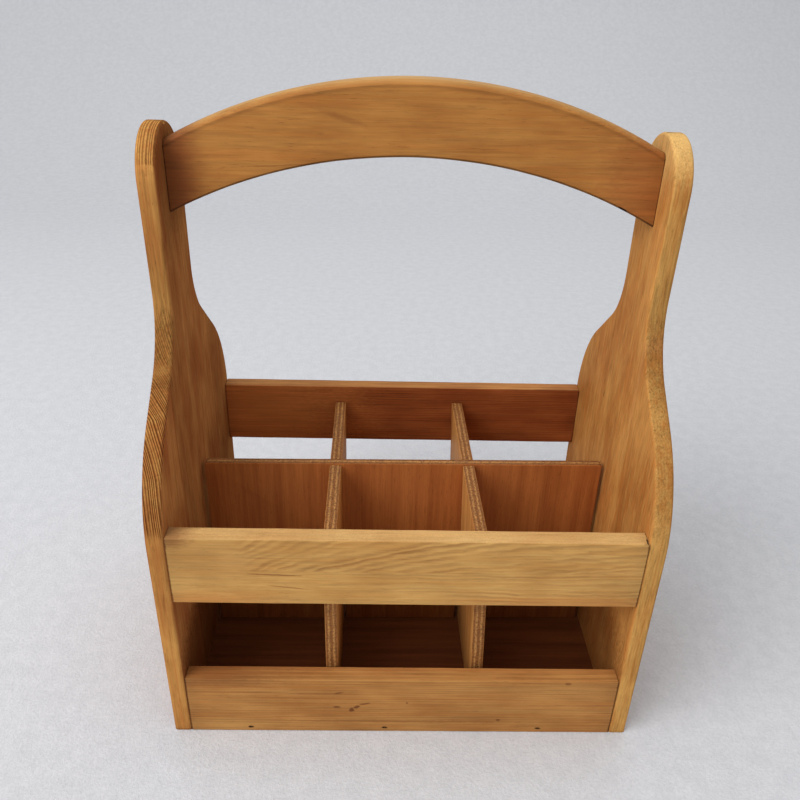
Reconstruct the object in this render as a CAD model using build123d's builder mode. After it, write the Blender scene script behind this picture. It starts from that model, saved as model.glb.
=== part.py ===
from build123d import *
import os
from math import acos, atan, atan2, cos, degrees, radians, sin

# A carried caddy for six bottles. Two tall end boards stand on the ground and are joined by four
# rails, a floor panel and an arched handle. A grid of three thin plywood dividers is halved
# together, stands loose on the floor panel, a little askew, and lifts out. Origin: bottom centre.
# X runs from end board to end board, Y from front to back, Z up. Millimetres.

# Overall
inner_width = 220.0          # between the inner faces of the end boards
depth = 158.6                # front to back, over the rails
panel_height = 293.1         # to the top of the end board's round head

# Boards
panel_thickness = 8.9
rail_thickness = 9.0
rail_height = 38.0
upper_rail_base = 88.9       # underside of the upper rails
floor_thickness = 6.2

# Outline of the end board
head_radius = 22.2
neck_width = 42.6
neck_length = 50.3           # from the end of the shoulder curve to the centre of the head
# The edge leaves the straight this far below the top of the upper rails, fuller at the back
front_shoulder_drop = 9.1
back_shoulder_drop = 3.0
# How steep the shoulder gets, as a share of a curve with no straight run
front_slope_share = 0.85
back_slope_share = 0.80
# The round shoulder's share of the curve, the hollow takes the rest
front_round_share = 0.61
back_round_share = 0.65

# Handle, cut by eye: its right end is the wider one and sits lower
handle_thickness = 14.0
handle_left_height = 31.6    # its upright width at the left end
handle_middle_height = 32.2
handle_right_height = 33.0
handle_rise = 27.6           # of the arch, from its ends to its middle
handle_left_margin = 7.2     # from the top of the end board down to the top of the handle's end
handle_right_margin = 8.0

# Divider grid
long_divider_thickness = 5.0
long_divider_height = 112.0
cross_divider_thickness = 6.2
cross_divider_drop = 0.7     # the cross dividers are this much lower than the long one
divider_pitch = 75.0         # between the two cross dividers, at the middle of their laps
long_end_gap = 1.95          # from the long divider's ends to the end boards
cross_end_gap = 1.25         # from the cross dividers' ends to the rails
cross_slot_play = 1.3        # each side of a cross divider, in the long one's slots, cut wide
lap_clearance = 0.25         # around the long divider in the cross ones, and over each lap
grid_turn = 0.8              # degrees, the loose grid stands a little askew
left_cross_lean = 0.1        # degrees, each cross divider's top leans to the left in its wide slot
right_cross_lean = 2.0

# Eased arrises and corners
panel_arris = 1.2
rail_edge_radius = 0.6
handle_upper_radius = 3.2    # the top is rounded for the palm
handle_lower_arris = 0.9
divider_arris = 0.5
divider_corner_radius = 1.5

# Brads, the flat-shanked nails that pin the glued joints
brad_length = 18.0
brad_width = 1.2
brad_gauge = 1.0
brad_head_width = 2.0
brad_head_thickness = 0.8
brad_sink = 0.9              # the heads are punched this far below the wood
brad_clearance = 0.04
rail_brad_spacing = 19.0
handle_brad_spacing = 12.0
side_floor_brad_spacing = 76.0
back_floor_brad_spacing = 75.0
front_floor_brads = (-79.0, -9.0, 72.0)   # along the front rail, driven by eye

# Worked out from the values above
half_width = inner_width / 2
half_depth = depth / 2
outer_face = half_width + panel_thickness
inner_depth = depth - 2 * rail_thickness
rail_middle = half_depth - rail_thickness / 2
handle_left_top = panel_height - handle_left_margin
handle_right_top = panel_height - handle_right_margin
handle_crown = (handle_left_top + handle_right_top) / 2 + handle_rise
cross_divider_height = long_divider_height - cross_divider_drop
long_divider_length = inner_width - 2 * long_end_gap
cross_divider_length = inner_depth - 2 * cross_end_gap
lap_height = cross_divider_height / 2
cross_places = (-divider_pitch / 2, divider_pitch / 2)


# ---------------------------------------------------------------- brads and their holes
def brad_planes(places, facing):
    """Planes on the wood's surface, one for each brad, that face out of it and have X level."""
    level = facing.cross(Vector(0, 0, 1))
    return [Plane(origin=place, x_dir=level, z_dir=facing) for place in places]


def brads(planes):
    """A row of brads, each sunk below its plane, as separate solids."""
    heads = [plane.offset(-brad_sink) for plane in planes]
    with BuildPart() as row:
        with BuildSketch(*heads):
            Rectangle(brad_width, brad_gauge)
        extrude(amount=-brad_length)
        with BuildSketch(*heads):
            Rectangle(brad_head_width, brad_gauge)
        extrude(amount=-brad_head_thickness)
    return row


def brad_holes(planes):
    """What a row of brads leaves in the wood: the shank's slot and the punched pocket over it."""
    room = 2 * brad_clearance
    with BuildPart() as holes:
        with BuildSketch(*planes):
            Rectangle(brad_width + room, brad_gauge + room)
        extrude(amount=-(brad_sink + brad_length + brad_clearance))
        with BuildSketch(*planes):
            Rectangle(brad_head_width + room, brad_gauge + room)
        extrude(amount=-(brad_sink + brad_head_thickness + brad_clearance))
    return holes.part


def side_planes(side, spots):
    """Brad planes on the outer face of the end board on one side, at spots given as (y, z)."""
    return brad_planes([(side * outer_face, y, z) for y, z in spots], Vector(side, 0, 0))


rail_brad_spots = [
    (y, base + rail_height / 2 + step)
    for y in (-rail_middle, rail_middle)
    for base in (0, upper_rail_base)
    for step in (-rail_brad_spacing / 2, rail_brad_spacing / 2)
]
side_floor_spots = [
    (y, floor_thickness / 2) for y in (-side_floor_brad_spacing / 2, side_floor_brad_spacing / 2)
]


def handle_brad_spots(end_top, end_height):
    """Two places, one over the other, in the middle of one end of the handle."""
    middle = end_top - end_height / 2
    return [(0, middle + step) for step in (-handle_brad_spacing / 2, handle_brad_spacing / 2)]


left_rail_planes = side_planes(-1, rail_brad_spots)
right_rail_planes = side_planes(1, rail_brad_spots)
left_handle_planes = side_planes(-1, handle_brad_spots(handle_left_top, handle_left_height))
right_handle_planes = side_planes(1, handle_brad_spots(handle_right_top, handle_right_height))
left_floor_planes = side_planes(-1, side_floor_spots)
right_floor_planes = side_planes(1, side_floor_spots)
front_floor_planes = brad_planes(
    [(x, -half_depth, floor_thickness / 2) for x in front_floor_brads], Vector(0, -1, 0)
)
back_floor_planes = brad_planes(
    [(step * back_floor_brad_spacing, half_depth, floor_thickness / 2) for step in (-1, 0, 1)],
    Vector(0, 1, 0),
)

left_holes = brad_holes(left_rail_planes + left_handle_planes + left_floor_planes)
right_holes = brad_holes(right_rail_planes + right_handle_planes + right_floor_planes)
front_holes = brad_holes(front_floor_planes)
back_holes = brad_holes(back_floor_planes)
end_holes = [left_holes, right_holes]


# ---------------------------------------------------------------- end boards
def half_outline(shoulder_drop, slope_share, round_share):
    """Half of the end board's outline, drawn to the right of its middle, from foot to crown.

    An upright edge, a round shoulder that hollows into the neck, and a round head.
    """
    neck = neck_width / 2
    head_centre = Vector(0, panel_height - head_radius)
    shoulder_height = upper_rail_base + rail_height - shoulder_drop
    waist_height = head_centre.Y - neck_length

    # From the upright edge to the neck: a round arc, a straight run and a hollow arc, all tangent
    across = half_depth - neck
    up = waist_height - shoulder_height
    slope = slope_share * 2 * atan(across / up)
    both_radii = (up * sin(slope) - across * cos(slope)) / (1 - cos(slope))
    shoulder_radius = round_share * both_radii
    hollow_radius = both_radii - shoulder_radius
    shoulder_centre = Vector(half_depth - shoulder_radius, shoulder_height)
    hollow_centre = Vector(neck + hollow_radius, waist_height)
    leaning = Vector(cos(slope), sin(slope))

    # From the hollow to the head: the line that touches both circles
    to_hollow = hollow_centre - head_centre
    flare = atan2(to_hollow.Y, to_hollow.X) + acos((head_radius + hollow_radius) / to_hollow.length)
    flaring = Vector(cos(flare), sin(flare))

    with BuildLine() as half:
        Line((0, 0), (half_depth, 0))
        Line((half_depth, 0), (half_depth, shoulder_height))
        CenterArc(shoulder_centre, shoulder_radius, 0, degrees(slope))
        Line(shoulder_centre + leaning * shoulder_radius, hollow_centre - leaning * hollow_radius)
        CenterArc(hollow_centre, hollow_radius, 180 + degrees(slope), degrees(flare - slope))
        Line(hollow_centre - flaring * hollow_radius, head_centre + flaring * head_radius)
        CenterArc(head_centre, head_radius, degrees(flare), 90 - degrees(flare))
    return half.line


front_half = half_outline(front_shoulder_drop, front_slope_share, front_round_share)
back_half = half_outline(back_shoulder_drop, back_slope_share, back_round_share)


def end_panel(side, holes):
    """Tall board with its outline's arrises eased, drawn on its inner face and built outwards."""
    inner_plane = Plane(origin=(side * half_width, 0, 0), x_dir=(0, 1, 0), z_dir=(1, 0, 0))
    with BuildPart() as panel:
        with BuildSketch(inner_plane):
            with BuildLine():
                add(back_half)
                mirror(front_half, about=Plane.YZ)
            make_face()
        extrude(amount=side * panel_thickness)
        outline = panel.edges().filter_by(Axis.X, reverse=True)
        chamfer(outline.filter_by(lambda edge: edge.center().Z > 0), panel_arris)
        add(holes, mode=Mode.SUBTRACT)
    return panel


left_end_panel = end_panel(-1, left_holes)
right_end_panel = end_panel(1, right_holes)


# ---------------------------------------------------------------- rails
def rail(side, base, floor_holes=None):
    """Flat rail between the end boards, flush with their edges, with eased arrises."""
    bottom = Plane(origin=(0, side * rail_middle, base))
    with BuildPart() as board:
        with BuildSketch(bottom):
            Rectangle(inner_width, rail_thickness)
        extrude(amount=rail_height)
        fillet(board.edges().filter_by(Axis.X), rail_edge_radius)
        add(end_holes, mode=Mode.SUBTRACT)
        if floor_holes:
            add(floor_holes, mode=Mode.SUBTRACT)
    return board


front_lower_rail = rail(-1, 0, front_holes)
front_upper_rail = rail(-1, upper_rail_base)
back_lower_rail = rail(1, 0, back_holes)
back_upper_rail = rail(1, upper_rail_base)

# ---------------------------------------------------------------- floor panel
with BuildPart() as floor_panel:
    with BuildSketch():
        Rectangle(inner_width, inner_depth)
    extrude(amount=floor_thickness)
    add([*end_holes, front_holes, back_holes], mode=Mode.SUBTRACT)

# ---------------------------------------------------------------- handle
with BuildPart() as handle:
    with BuildSketch(Plane.XZ):
        with BuildLine():
            upper = ThreePointArc(
                (-half_width, handle_left_top), (0, handle_crown), (half_width, handle_right_top)
            )
            lower = ThreePointArc(
                (-half_width, handle_left_top - handle_left_height),
                (0, handle_crown - handle_middle_height),
                (half_width, handle_right_top - handle_right_height),
            )
            Line(upper @ 0, lower @ 0)
            Line(upper @ 1, lower @ 1)
        make_face()
    extrude(amount=handle_thickness / 2, both=True)
    chamfer(handle.edges().filter_by(GeomType.CIRCLE).group_by(Axis.Z)[0], handle_lower_arris)
    fillet(handle.edges().filter_by(GeomType.CIRCLE).group_by(Axis.Z)[-1], handle_upper_radius)
    add(end_holes, mode=Mode.SUBTRACT)

# ---------------------------------------------------------------- divider grid
grid = Plane.XY.offset(floor_thickness).rotated((0, 0, grid_turn))
along_grid = Plane(grid.origin, x_dir=grid.x_dir, z_dir=-grid.y_dir)


def across_grid(place, lean):
    """Plane across the long divider that leans to the left about the middle of the slot there.

    Its origin is low in the middle of a board that stands on the edge the lean brings lowest.
    """
    facing = grid.x_dir * cos(radians(lean)) + grid.z_dir * sin(radians(lean))
    foot = grid.x_dir * (place + lap_height / 2 * sin(radians(lean)))
    lift = grid.z_dir * (cross_divider_thickness / 2 * sin(radians(lean)))
    return Plane(grid.origin + foot + lift, x_dir=grid.y_dir, z_dir=facing)


def divider(middle, length, height, thickness, slots, slot_width, slot_base, slot_height):
    """Thin board standing on its edge, drawn on its middle plane and slotted for the halving joints."""
    with BuildPart() as board:
        with BuildSketch(middle) as face:
            Rectangle(length, height, align=(Align.CENTER, Align.MIN))
            fillet(face.vertices().group_by(Axis.Y)[-1], divider_corner_radius)
            with Locations([(place, slot_base) for place in slots]):
                Rectangle(slot_width, slot_height, align=(Align.CENTER, Align.MIN), mode=Mode.SUBTRACT)
        extrude(amount=thickness / 2, both=True)
        near_top = floor_thickness + height - divider_corner_radius
        long_edges = board.edges().filter_by(Axis((0, 0, 0), middle.z_dir), reverse=True)
        chamfer(long_edges.filter_by(lambda edge: edge.center().Z > near_top), divider_arris)
    return board


def cross_divider(place, lean):
    """Divider from front to back, open at the top where the long one sits down over it."""
    return divider(
        across_grid(place, lean),
        cross_divider_length,
        cross_divider_height,
        cross_divider_thickness,
        slots=[0],
        slot_width=long_divider_thickness + 2 * lap_clearance,
        slot_base=lap_height,
        slot_height=cross_divider_height - lap_height,
    )


long_divider = divider(
    along_grid,
    long_divider_length,
    long_divider_height,
    long_divider_thickness,
    slots=cross_places,
    slot_width=cross_divider_thickness + 2 * cross_slot_play,
    slot_base=0,
    slot_height=lap_height + lap_clearance,
)
left_cross_divider = cross_divider(cross_places[0], left_cross_lean)
right_cross_divider = cross_divider(cross_places[1], right_cross_lean)

# ---------------------------------------------------------------- the pieces, by name
pieces = {
    "left_end_panel": left_end_panel,
    "right_end_panel": right_end_panel,
    "handle": handle,
    "front_lower_rail": front_lower_rail,
    "front_upper_rail": front_upper_rail,
    "back_lower_rail": back_lower_rail,
    "back_upper_rail": back_upper_rail,
    "floor_panel": floor_panel,
    "long_divider": long_divider,
    "left_cross_divider": left_cross_divider,
    "right_cross_divider": right_cross_divider,
    "left_rail_brads": brads(left_rail_planes),
    "right_rail_brads": brads(right_rail_planes),
    "left_handle_brads": brads(left_handle_planes),
    "right_handle_brads": brads(right_handle_planes),
    "front_floor_brads": brads(front_floor_planes),
    "back_floor_brads": brads(back_floor_planes),
    "left_floor_brads": brads(left_floor_planes),
    "right_floor_brads": brads(right_floor_planes),
}

os.makedirs("parts", exist_ok=True)
for name, piece in pieces.items():
    piece.part.label = name
    export_step(piece.part, f"parts/{name}.step")
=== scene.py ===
"""Looks for the six-cell bottle caddy: varnished softwood boards, plywood dividers, camera and light.

Boards and wood are worked out in millimetres. Camera, lamps and backdrop are placed in metres.
"""

import math
from typing import NamedTuple

import bmesh
import bpy
from mathutils import Matrix, Vector, noise


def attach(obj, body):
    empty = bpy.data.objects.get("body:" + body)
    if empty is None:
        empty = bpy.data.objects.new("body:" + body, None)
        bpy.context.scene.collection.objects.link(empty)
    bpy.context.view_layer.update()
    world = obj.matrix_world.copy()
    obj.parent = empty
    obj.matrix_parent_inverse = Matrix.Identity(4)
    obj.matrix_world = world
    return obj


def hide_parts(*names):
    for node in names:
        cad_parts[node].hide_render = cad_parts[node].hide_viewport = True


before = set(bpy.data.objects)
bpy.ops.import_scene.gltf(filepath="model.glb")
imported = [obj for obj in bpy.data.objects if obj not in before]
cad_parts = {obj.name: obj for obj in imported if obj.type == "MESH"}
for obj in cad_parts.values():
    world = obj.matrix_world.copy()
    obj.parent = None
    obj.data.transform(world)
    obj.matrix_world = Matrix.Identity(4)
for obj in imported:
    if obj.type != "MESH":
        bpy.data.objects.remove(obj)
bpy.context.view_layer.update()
scene = bpy.context.scene

MM = 0.001
CADDY = "caddy"
GRID = "divider_grid"

# ------------ sizes, in mm
INNER_HALF_WIDTH = 110.0
HALF_DEPTH = 79.3
PANEL_HEIGHT = 293.1
PANEL_THICKNESS = 8.9
PANEL_EDGE_RADIUS = 1.5
RAIL_THICKNESS = 9.0
RAIL_HEIGHT = 38.0
RAIL_EDGE_RADIUS = 0.6
UPPER_RAIL_BASE = 88.9
FLOOR_THICKNESS = 6.2
HEAD_RADIUS = 22.2
NECK_HALF_WIDTH = 21.3
NECK_LENGTH = 50.3
# The end board's shoulders, at the front and at the back
SHOULDERS = {
    -1: dict(drop=9.1, slope_share=0.85, round_share=0.61),
    1: dict(drop=3.0, slope_share=0.80, round_share=0.65),
}
HANDLE_THICKNESS = 14.0
HANDLE_UPPER_RADIUS = 2.3
HANDLE_LOWER_RADIUS = 1.1
HANDLE_TOP = dict(left=285.9, middle=313.1, right=285.1)
HANDLE_HEIGHT = dict(left=31.6, middle=32.2, right=33.0)
LONG_DIVIDER = dict(length=216.1, height=112.0, thickness=5.0)
CROSS_DIVIDER = dict(length=138.1, height=111.3, thickness=6.2)
DIVIDER_PITCH = 75.0
CROSS_SLOT_PLAY = 1.3
LAP_CLEARANCE = 0.25
GRID_TURN = math.radians(0.8)
LEFT_CROSS_LEAN = math.radians(0.1)
RIGHT_CROSS_LEAN = math.radians(2.0)
DIVIDER_CORNER_RADIUS = 1.5
DIVIDER_EDGE_RADIUS = 0.45
RAIL_MIDDLE = HALF_DEPTH - RAIL_THICKNESS / 2
OUTER_FACE = INNER_HALF_WIDTH + PANEL_THICKNESS

# Brads: where their heads were punched below the wood, in mm
RAIL_BRAD_SPACING = 19.0
HANDLE_BRAD_SPACING = 12.0
SIDE_FLOOR_BRAD_SPACING = 76.0
BACK_FLOOR_BRADS = (-75.0, 0.0, 75.0)
FRONT_FLOOR_BRADS = (-79.0, -9.0, 72.0)

# ------------ camera
SENSOR_MM = 36.0
FOCAL_SHARE = 776.548 / 800  # focal length over the picture's width
CAMERA_PLACE = (-0.013121, -0.355880, 0.350495)
CAMERA_YAW = 0.026508
CAMERA_PITCH = -0.499028
CAMERA_ROLL = 0.028847


def add_object(name, data):
    """Puts a new object into the scene."""
    added = bpy.data.objects.new(name, data)
    scene.collection.objects.link(added)
    return added


def make_camera():
    forward = Vector((
        math.sin(CAMERA_YAW) * math.cos(CAMERA_PITCH),
        math.cos(CAMERA_YAW) * math.cos(CAMERA_PITCH),
        math.sin(CAMERA_PITCH),
    ))
    level = Vector((math.cos(CAMERA_YAW), -math.sin(CAMERA_YAW), 0))
    upward = level.cross(forward)
    right = level * math.cos(CAMERA_ROLL) + upward * math.sin(CAMERA_ROLL)
    up = upward * math.cos(CAMERA_ROLL) - level * math.sin(CAMERA_ROLL)
    data = bpy.data.cameras.new("camera")
    data.sensor_width = SENSOR_MM
    data.lens = FOCAL_SHARE * SENSOR_MM
    data.clip_start = 0.01
    camera = add_object("camera", data)
    turned = Matrix((right, up, -forward)).transposed().to_4x4()
    camera.matrix_world = Matrix.Translation(CAMERA_PLACE) @ turned
    scene.camera = camera


make_camera()


# ------------ shader node helpers
def srgb(red, green, blue):
    """Linear colour of a screen colour given from 0 to 255."""
    def linear(value):
        value /= 255
        return value / 12.92 if value <= 0.04045 else ((value + 0.055) / 1.055) ** 2.4
    return (linear(red), linear(green), linear(blue), 1.0)


COAT_ROUGHNESS = 0.32


class Shader:
    """One material, with short calls that add its nodes and join them up."""

    def __init__(self, name):
        self.material = bpy.data.materials.new(name)
        self.material.use_nodes = True
        self.nodes = self.material.node_tree.nodes
        self.links = self.material.node_tree.links
        self.nodes.clear()
        self.source = self.node("TexCoord")

    def put(self, socket, value):
        if isinstance(value, bpy.types.NodeSocket):
            self.links.new(value, socket)
        else:
            socket.default_value = value

    def node(self, kind, *values, **settings):
        """Adds a node with its settings, and gives its first inputs their values."""
        node = self.nodes.new("ShaderNode" + kind)
        for name, setting in settings.items():
            setattr(node, name, setting)
        for socket, value in zip(node.inputs, values):
            self.put(socket, value)
        return node

    def math(self, operation, *values):
        return self.node("Math", *values, operation=operation).outputs[0]

    def add(self, *values):
        total = values[0]
        for value in values[1:]:
            total = self.math("ADD", total, value)
        return total

    def minus(self, a, b):
        return self.math("SUBTRACT", a, b)

    def times(self, a, b):
        return self.math("MULTIPLY", a, b)

    def size(self, a):
        return self.math("ABSOLUTE", a)

    def ramp(self, value, low, high, to_low=0.0, to_high=1.0):
        """Runs smoothly from to_low to to_high as value goes from low to high."""
        values = (value, low, high, to_low, to_high)
        return self.node("MapRange", *values, interpolation_type="SMOOTHSTEP").outputs[0]

    def combine(self, x, y, z):
        return self.node("CombineXYZ", x, y, z).outputs[0]

    def split(self, vector):
        return self.node("SeparateXYZ", vector).outputs

    def vector_math(self, operation, a, b):
        return self.node("VectorMath", a, b, operation=operation)

    def noise(self, space, cell, seed, detail=2.0, rough=0.55):
        """Cloudy noise from about 0 to 1, whose cells measure cell (along, across, through) in mm."""
        scaled = self.vector_math("MULTIPLY", space, [1 / side for side in cell])
        values = (scaled.outputs[0], seed, 1.0, detail, rough)
        return self.node("TexNoise", *values, noise_dimensions="4D").outputs[0]

    def swing(self, value, reach):
        """Turns noise from 0 to 1 into a swing of up to reach either way."""
        return self.times(self.minus(value, 0.5), 2 * reach)

    def mix(self, share, first, second, blend="MIX"):
        node = self.node("Mix", share, data_type="RGBA", blend_type=blend)
        self.put(node.inputs[6], first)
        self.put(node.inputs[7], second)
        return node.outputs[2]

    def curve(self, value, stops, steps=False):
        """A number that follows stops given as (place, height), with places from 0 to 1."""
        node = self.node("ValToRGB", value)
        ramp = node.color_ramp
        ramp.interpolation = "CONSTANT" if steps else "LINEAR"
        while len(ramp.elements) < len(stops):
            ramp.elements.new(0.5)
        for element, (place, height) in zip(ramp.elements, stops):
            element.position = place
            element.color = (height, height, height, 1.0)
        return self.node("RGBToBW", node.outputs[0]).outputs[0]

    def level(self, colour, shade):
        """Makes a colour lighter or darker by a share, such as -0.1 for a tenth darker."""
        tone = self.add(shade, 1.0)
        return self.mix(1.0, colour, self.combine(tone, tone, tone), "MULTIPLY")

    def board_space(self, board):
        """Coordinates in mm along, across and through a board, from its middle."""
        place = self.node("Mapping", self.source.outputs["Object"], vector_type="TEXTURE")
        place.inputs["Location"].default_value = board.translation
        place.inputs["Rotation"].default_value = board.to_euler()
        place.inputs["Scale"].default_value = (MM, MM, MM)
        return place.outputs[0]

    def facing(self, direction):
        """How squarely the surface faces along a direction, either way, from 0 to 1."""
        dot = self.vector_math("DOT_PRODUCT", self.source.outputs["Normal"], tuple(direction))
        return self.size(dot.outputs["Value"])

    def finish(self, colour, roughness, height, bump_mm, coat=0.02, specular=0.15):
        surface = self.node("BsdfPrincipled")
        output = self.node("OutputMaterial")
        self.put(surface.inputs["Base Color"], colour)
        self.put(surface.inputs["Roughness"], roughness)
        surface.inputs["Specular IOR Level"].default_value = specular
        surface.inputs["Coat Weight"].default_value = coat
        surface.inputs["Coat Roughness"].default_value = COAT_ROUGHNESS
        bump = self.node("Bump")
        bump.inputs["Strength"].default_value = 1.0
        bump.inputs["Distance"].default_value = bump_mm * MM
        self.put(bump.inputs["Height"], height)
        self.put(surface.inputs["Normal"], bump.outputs[0])
        self.links.new(surface.outputs[0], output.inputs[0])
        return self.material


def board_frame(origin_mm, along, across):
    """Matrix whose columns run along the grain, across the board and through it."""
    along, across = Vector(along).normalized(), Vector(across).normalized()
    turned = Matrix((along, across, along.cross(across))).transposed().to_4x4()
    return Matrix.Translation(Vector(origin_mm) * MM) @ turned


# ------------ solid wood
# How dark a year's ring is, from its pale early wood to its dark late wood and back
RING_PROFILE = [(0.0, 0.4), (0.1, 0.0), (0.34, 0.1), (0.58, 0.8), (0.86, 1.0), (1.0, 0.4)]
END_GRAIN = (0.09, 0.2)  # how squarely a surface cuts the fibres: side grain, end grain
HALF_SPAN = 80.0  # mm, just over half the widest board
COAT_SHARE = 0.13  # the varnish's coat, as a share of the wood's own sheen
WOOD_ROUGHNESS = 0.54
WOOD_RELIEF = 0.09  # mm

# Sizes of the wood's patterns along, across and through the board, in mm
FIBRE_WIDTH = 0.9
COARSE_WIDTH = 2.2
PATCH_CELL = (40, 9, 9)
BLOTCH_CELL = (34, 15, 15)
PORE_CELL = (4.5, 0.45, 0.45)
SPECKLE_CELL = (0.7, 0.7, 0.7)


class Mark(NamedTuple):
    """A spot on a board, such as a knot, a stain, a crack or a hole, or painted shade, a painted
    highlight or a painted sheen.

    place and size are mm along and across the board, and through it where the spot isn't cut through.
    """
    place: tuple
    size: tuple
    strength: float
    colour: tuple
    slant: float = 0.0
    ragged: float = 0.5
    grain: tuple = (2.5, 0.8, 0.8)
    soft: float = 0.3
    on_face: bool = False


def inside(s, mark, space, axes, seed):
    """1 inside a mark, with a ragged outline that softens to 0."""
    offs = [s.minus(axis, middle) for axis, middle in zip(axes, mark.place)]
    offs[1] = s.minus(offs[1], s.times(offs[0], mark.slant))
    squares = [s.math("POWER", s.times(off, 1 / half), 2.0) for off, half in zip(offs, mark.size)]
    reach = s.math("SQRT", s.add(*squares))
    ragged = s.swing(s.noise(space, mark.grain, seed), mark.ragged)
    return s.ramp(s.add(reach, ragged), 1.0 - mark.soft, 1.0 + mark.soft, 1.0, 0.0)


def by_distance(s, across, stops, largest=1.0):
    """Follows stops given as (mm from the board's middle line, height), as a share of the largest."""
    stops = [(place / HALF_SPAN, height / largest) for place, height in stops]
    return s.curve(s.times(s.size(across), 1 / HALF_SPAN), stops)


def wood(name, board, face, edge, late, figure, spacing, side_lines, end_lines, seed,
         joined=False, lines_by_across=None, tone_by_across=None, tone_by_along=None,
         marks=(), fibre=0.34, fibre_length=18.0, flecks=0.16, hairs=0.10, end_dark=0.3, patchy=0.7,
         edge_lines=1.0, edge_speckle=0.0, figured=None, arris_painted_shade=0.0, specular=0.15):
    """Varnished softwood, solid through the board, so that its edges and faces belong together.

    face and edge are (pale, deep) colours of the broad faces and the narrow ones, late is the dark
    line that ends a year's ring. figure gives the distance across the rings, in mm. side_lines and
    end_lines are how strongly the rings show on the sides of the fibres and on their cut ends.
    joined is for a board whose ends are glued; it also paints shade over the last few mm before
    each end board. lines_by_across is the rings' strength at mm from the board's middle line.
    tone_by_across and tone_by_along are tones from 0 (dark) over 0.5 to 1 (pale) at shares of the way
    across, and of the way along the narrow faces.
    """
    s = Shader(name)
    space = s.board_space(board)
    along, across, through = s.split(space)
    grain, _, depth_axis = [Vector(board.col[i][:3]) for i in range(3)]
    cut = s.facing(grain)
    on_face = s.ramp(s.facing(depth_axis), 0.35, 0.9)

    # Year rings, each a little wider or narrower, and bolder or fainter, than the last
    reach = figure(s, space, along, across, through)
    level_reach = s.combine(reach, 0.0, 0.0)
    uneven = s.noise(level_reach, (spacing * 3.2, 1, 1), seed + 3, 1.0)
    bold = s.ramp(s.noise(level_reach, (spacing * 1.7, 1, 1), seed + 4, 1.0), 0.34, 0.62, 0.35, 1.0)
    rings = s.add(s.times(reach, 1 / spacing), s.times(uneven, 2.2))
    ring = s.curve(s.math("FRACT", rings), RING_PROFILE)
    opened = s.ramp(cut, *END_GRAIN)
    patches = s.ramp(s.noise(space, PATCH_CELL, seed + 6, 2.0), 0.36, 0.6, 1.0 - patchy, 1.0)
    strength = s.ramp(on_face, 0.0, 1.0, side_lines * edge_lines, side_lines)
    side_ring = s.times(s.times(bold, patches), strength)
    if figured:
        side_ring = s.times(side_ring, figured(s, along, across))
    end_ring = s.times(s.ramp(bold, 0.35, 1.0, 0.7, 1.0), end_lines)
    lines = s.add(s.times(s.minus(1.0, opened), side_ring), s.times(opened, end_ring))
    if lines_by_across:
        lines = s.times(lines, by_distance(s, across, lines_by_across))

    # Fibres, pores and blotches of stain
    fine = s.noise(space, (fibre_length, FIBRE_WIDTH, FIBRE_WIDTH), seed + 5, 4.0, 0.65)
    long_fibres = (fibre_length * 1.5, FIBRE_WIDTH, FIBRE_WIDTH)
    hair = s.ramp(s.noise(space, long_fibres, seed + 8, 2.0, 0.5), 0.53, 0.64)
    coarse = s.noise(space, (fibre_length * 4, COARSE_WIDTH, COARSE_WIDTH), seed + 7, 3.0, 0.6)
    blotch = s.noise(space, BLOTCH_CELL, seed + 11, 3.0, 0.55)
    pores = s.ramp(s.noise(space, PORE_CELL, seed + 9, 1.0), 0.66, 0.74)
    speckle = s.noise(space, SPECKLE_CELL, seed + 13, 2.0, 0.6)

    # Colour of the faces, the edges, the rings and the marks
    share = s.ramp(s.add(s.times(blotch, 0.5), s.times(coarse, 0.5)), 0.36, 0.64)
    face_colour = s.mix(share, face[0], face[1])
    edge_colour = s.mix(share, edge[0], edge[1])
    colour = s.mix(on_face, edge_colour, face_colour)
    colour = s.mix(s.times(opened, end_dark), colour, late)
    colour = s.mix(s.times(ring, lines), colour, late)
    for mark in marks:
        covered = inside(s, mark, space, (along, across, through), seed + 17)
        if mark.on_face:
            covered = s.times(covered, on_face)
        colour = s.mix(s.times(covered, mark.strength), colour, mark.colour)

    # Shade, as a share by which that colour gets lighter or darker
    shade = s.add(s.swing(fine, fibre), s.swing(coarse, fibre * 0.8), s.swing(blotch, -0.1))
    shade = s.add(shade, s.times(pores, -flecks), s.times(hair, -hairs))
    rough_sawn = s.add(s.times(opened, 0.2), s.times(s.minus(1.0, on_face), edge_speckle))
    shade = s.add(shade, s.times(s.swing(speckle, 1.0), rough_sawn))
    if tone_by_across:
        place = s.add(s.times(s.add(across, s.swing(coarse, 2.0)), 0.5 / HALF_SPAN), 0.5)
        shade = s.add(shade, s.times(s.minus(s.curve(place, tone_by_across, steps=True), 0.5), 2.0))
    if tone_by_along:
        place = s.add(s.times(along, 1 / PANEL_HEIGHT), s.swing(blotch, 0.04), 0.5)
        tone = s.times(s.minus(s.curve(place, tone_by_along), 0.5), 2.0)
        shade = s.add(shade, s.times(tone, s.minus(1.0, on_face)))
    if arris_painted_shade:
        # Painted shade: a dark line just under the upper arris, and darker down-facing surfaces along
        # the lower one
        upward = s.vector_math("DOT_PRODUCT", s.source.outputs["Normal"], (0, 0, 1)).outputs["Value"]
        under_upper = s.times(s.ramp(upward, 0.04, 0.14), s.ramp(upward, 0.2, 0.42, 1.0, 0.0))
        below = s.ramp(upward, -0.6, -0.15, 1.0, 0.0)
        shade = s.add(shade, s.times(s.add(under_upper, s.times(below, 2.2)), -arris_painted_shade))
    if joined:
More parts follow.
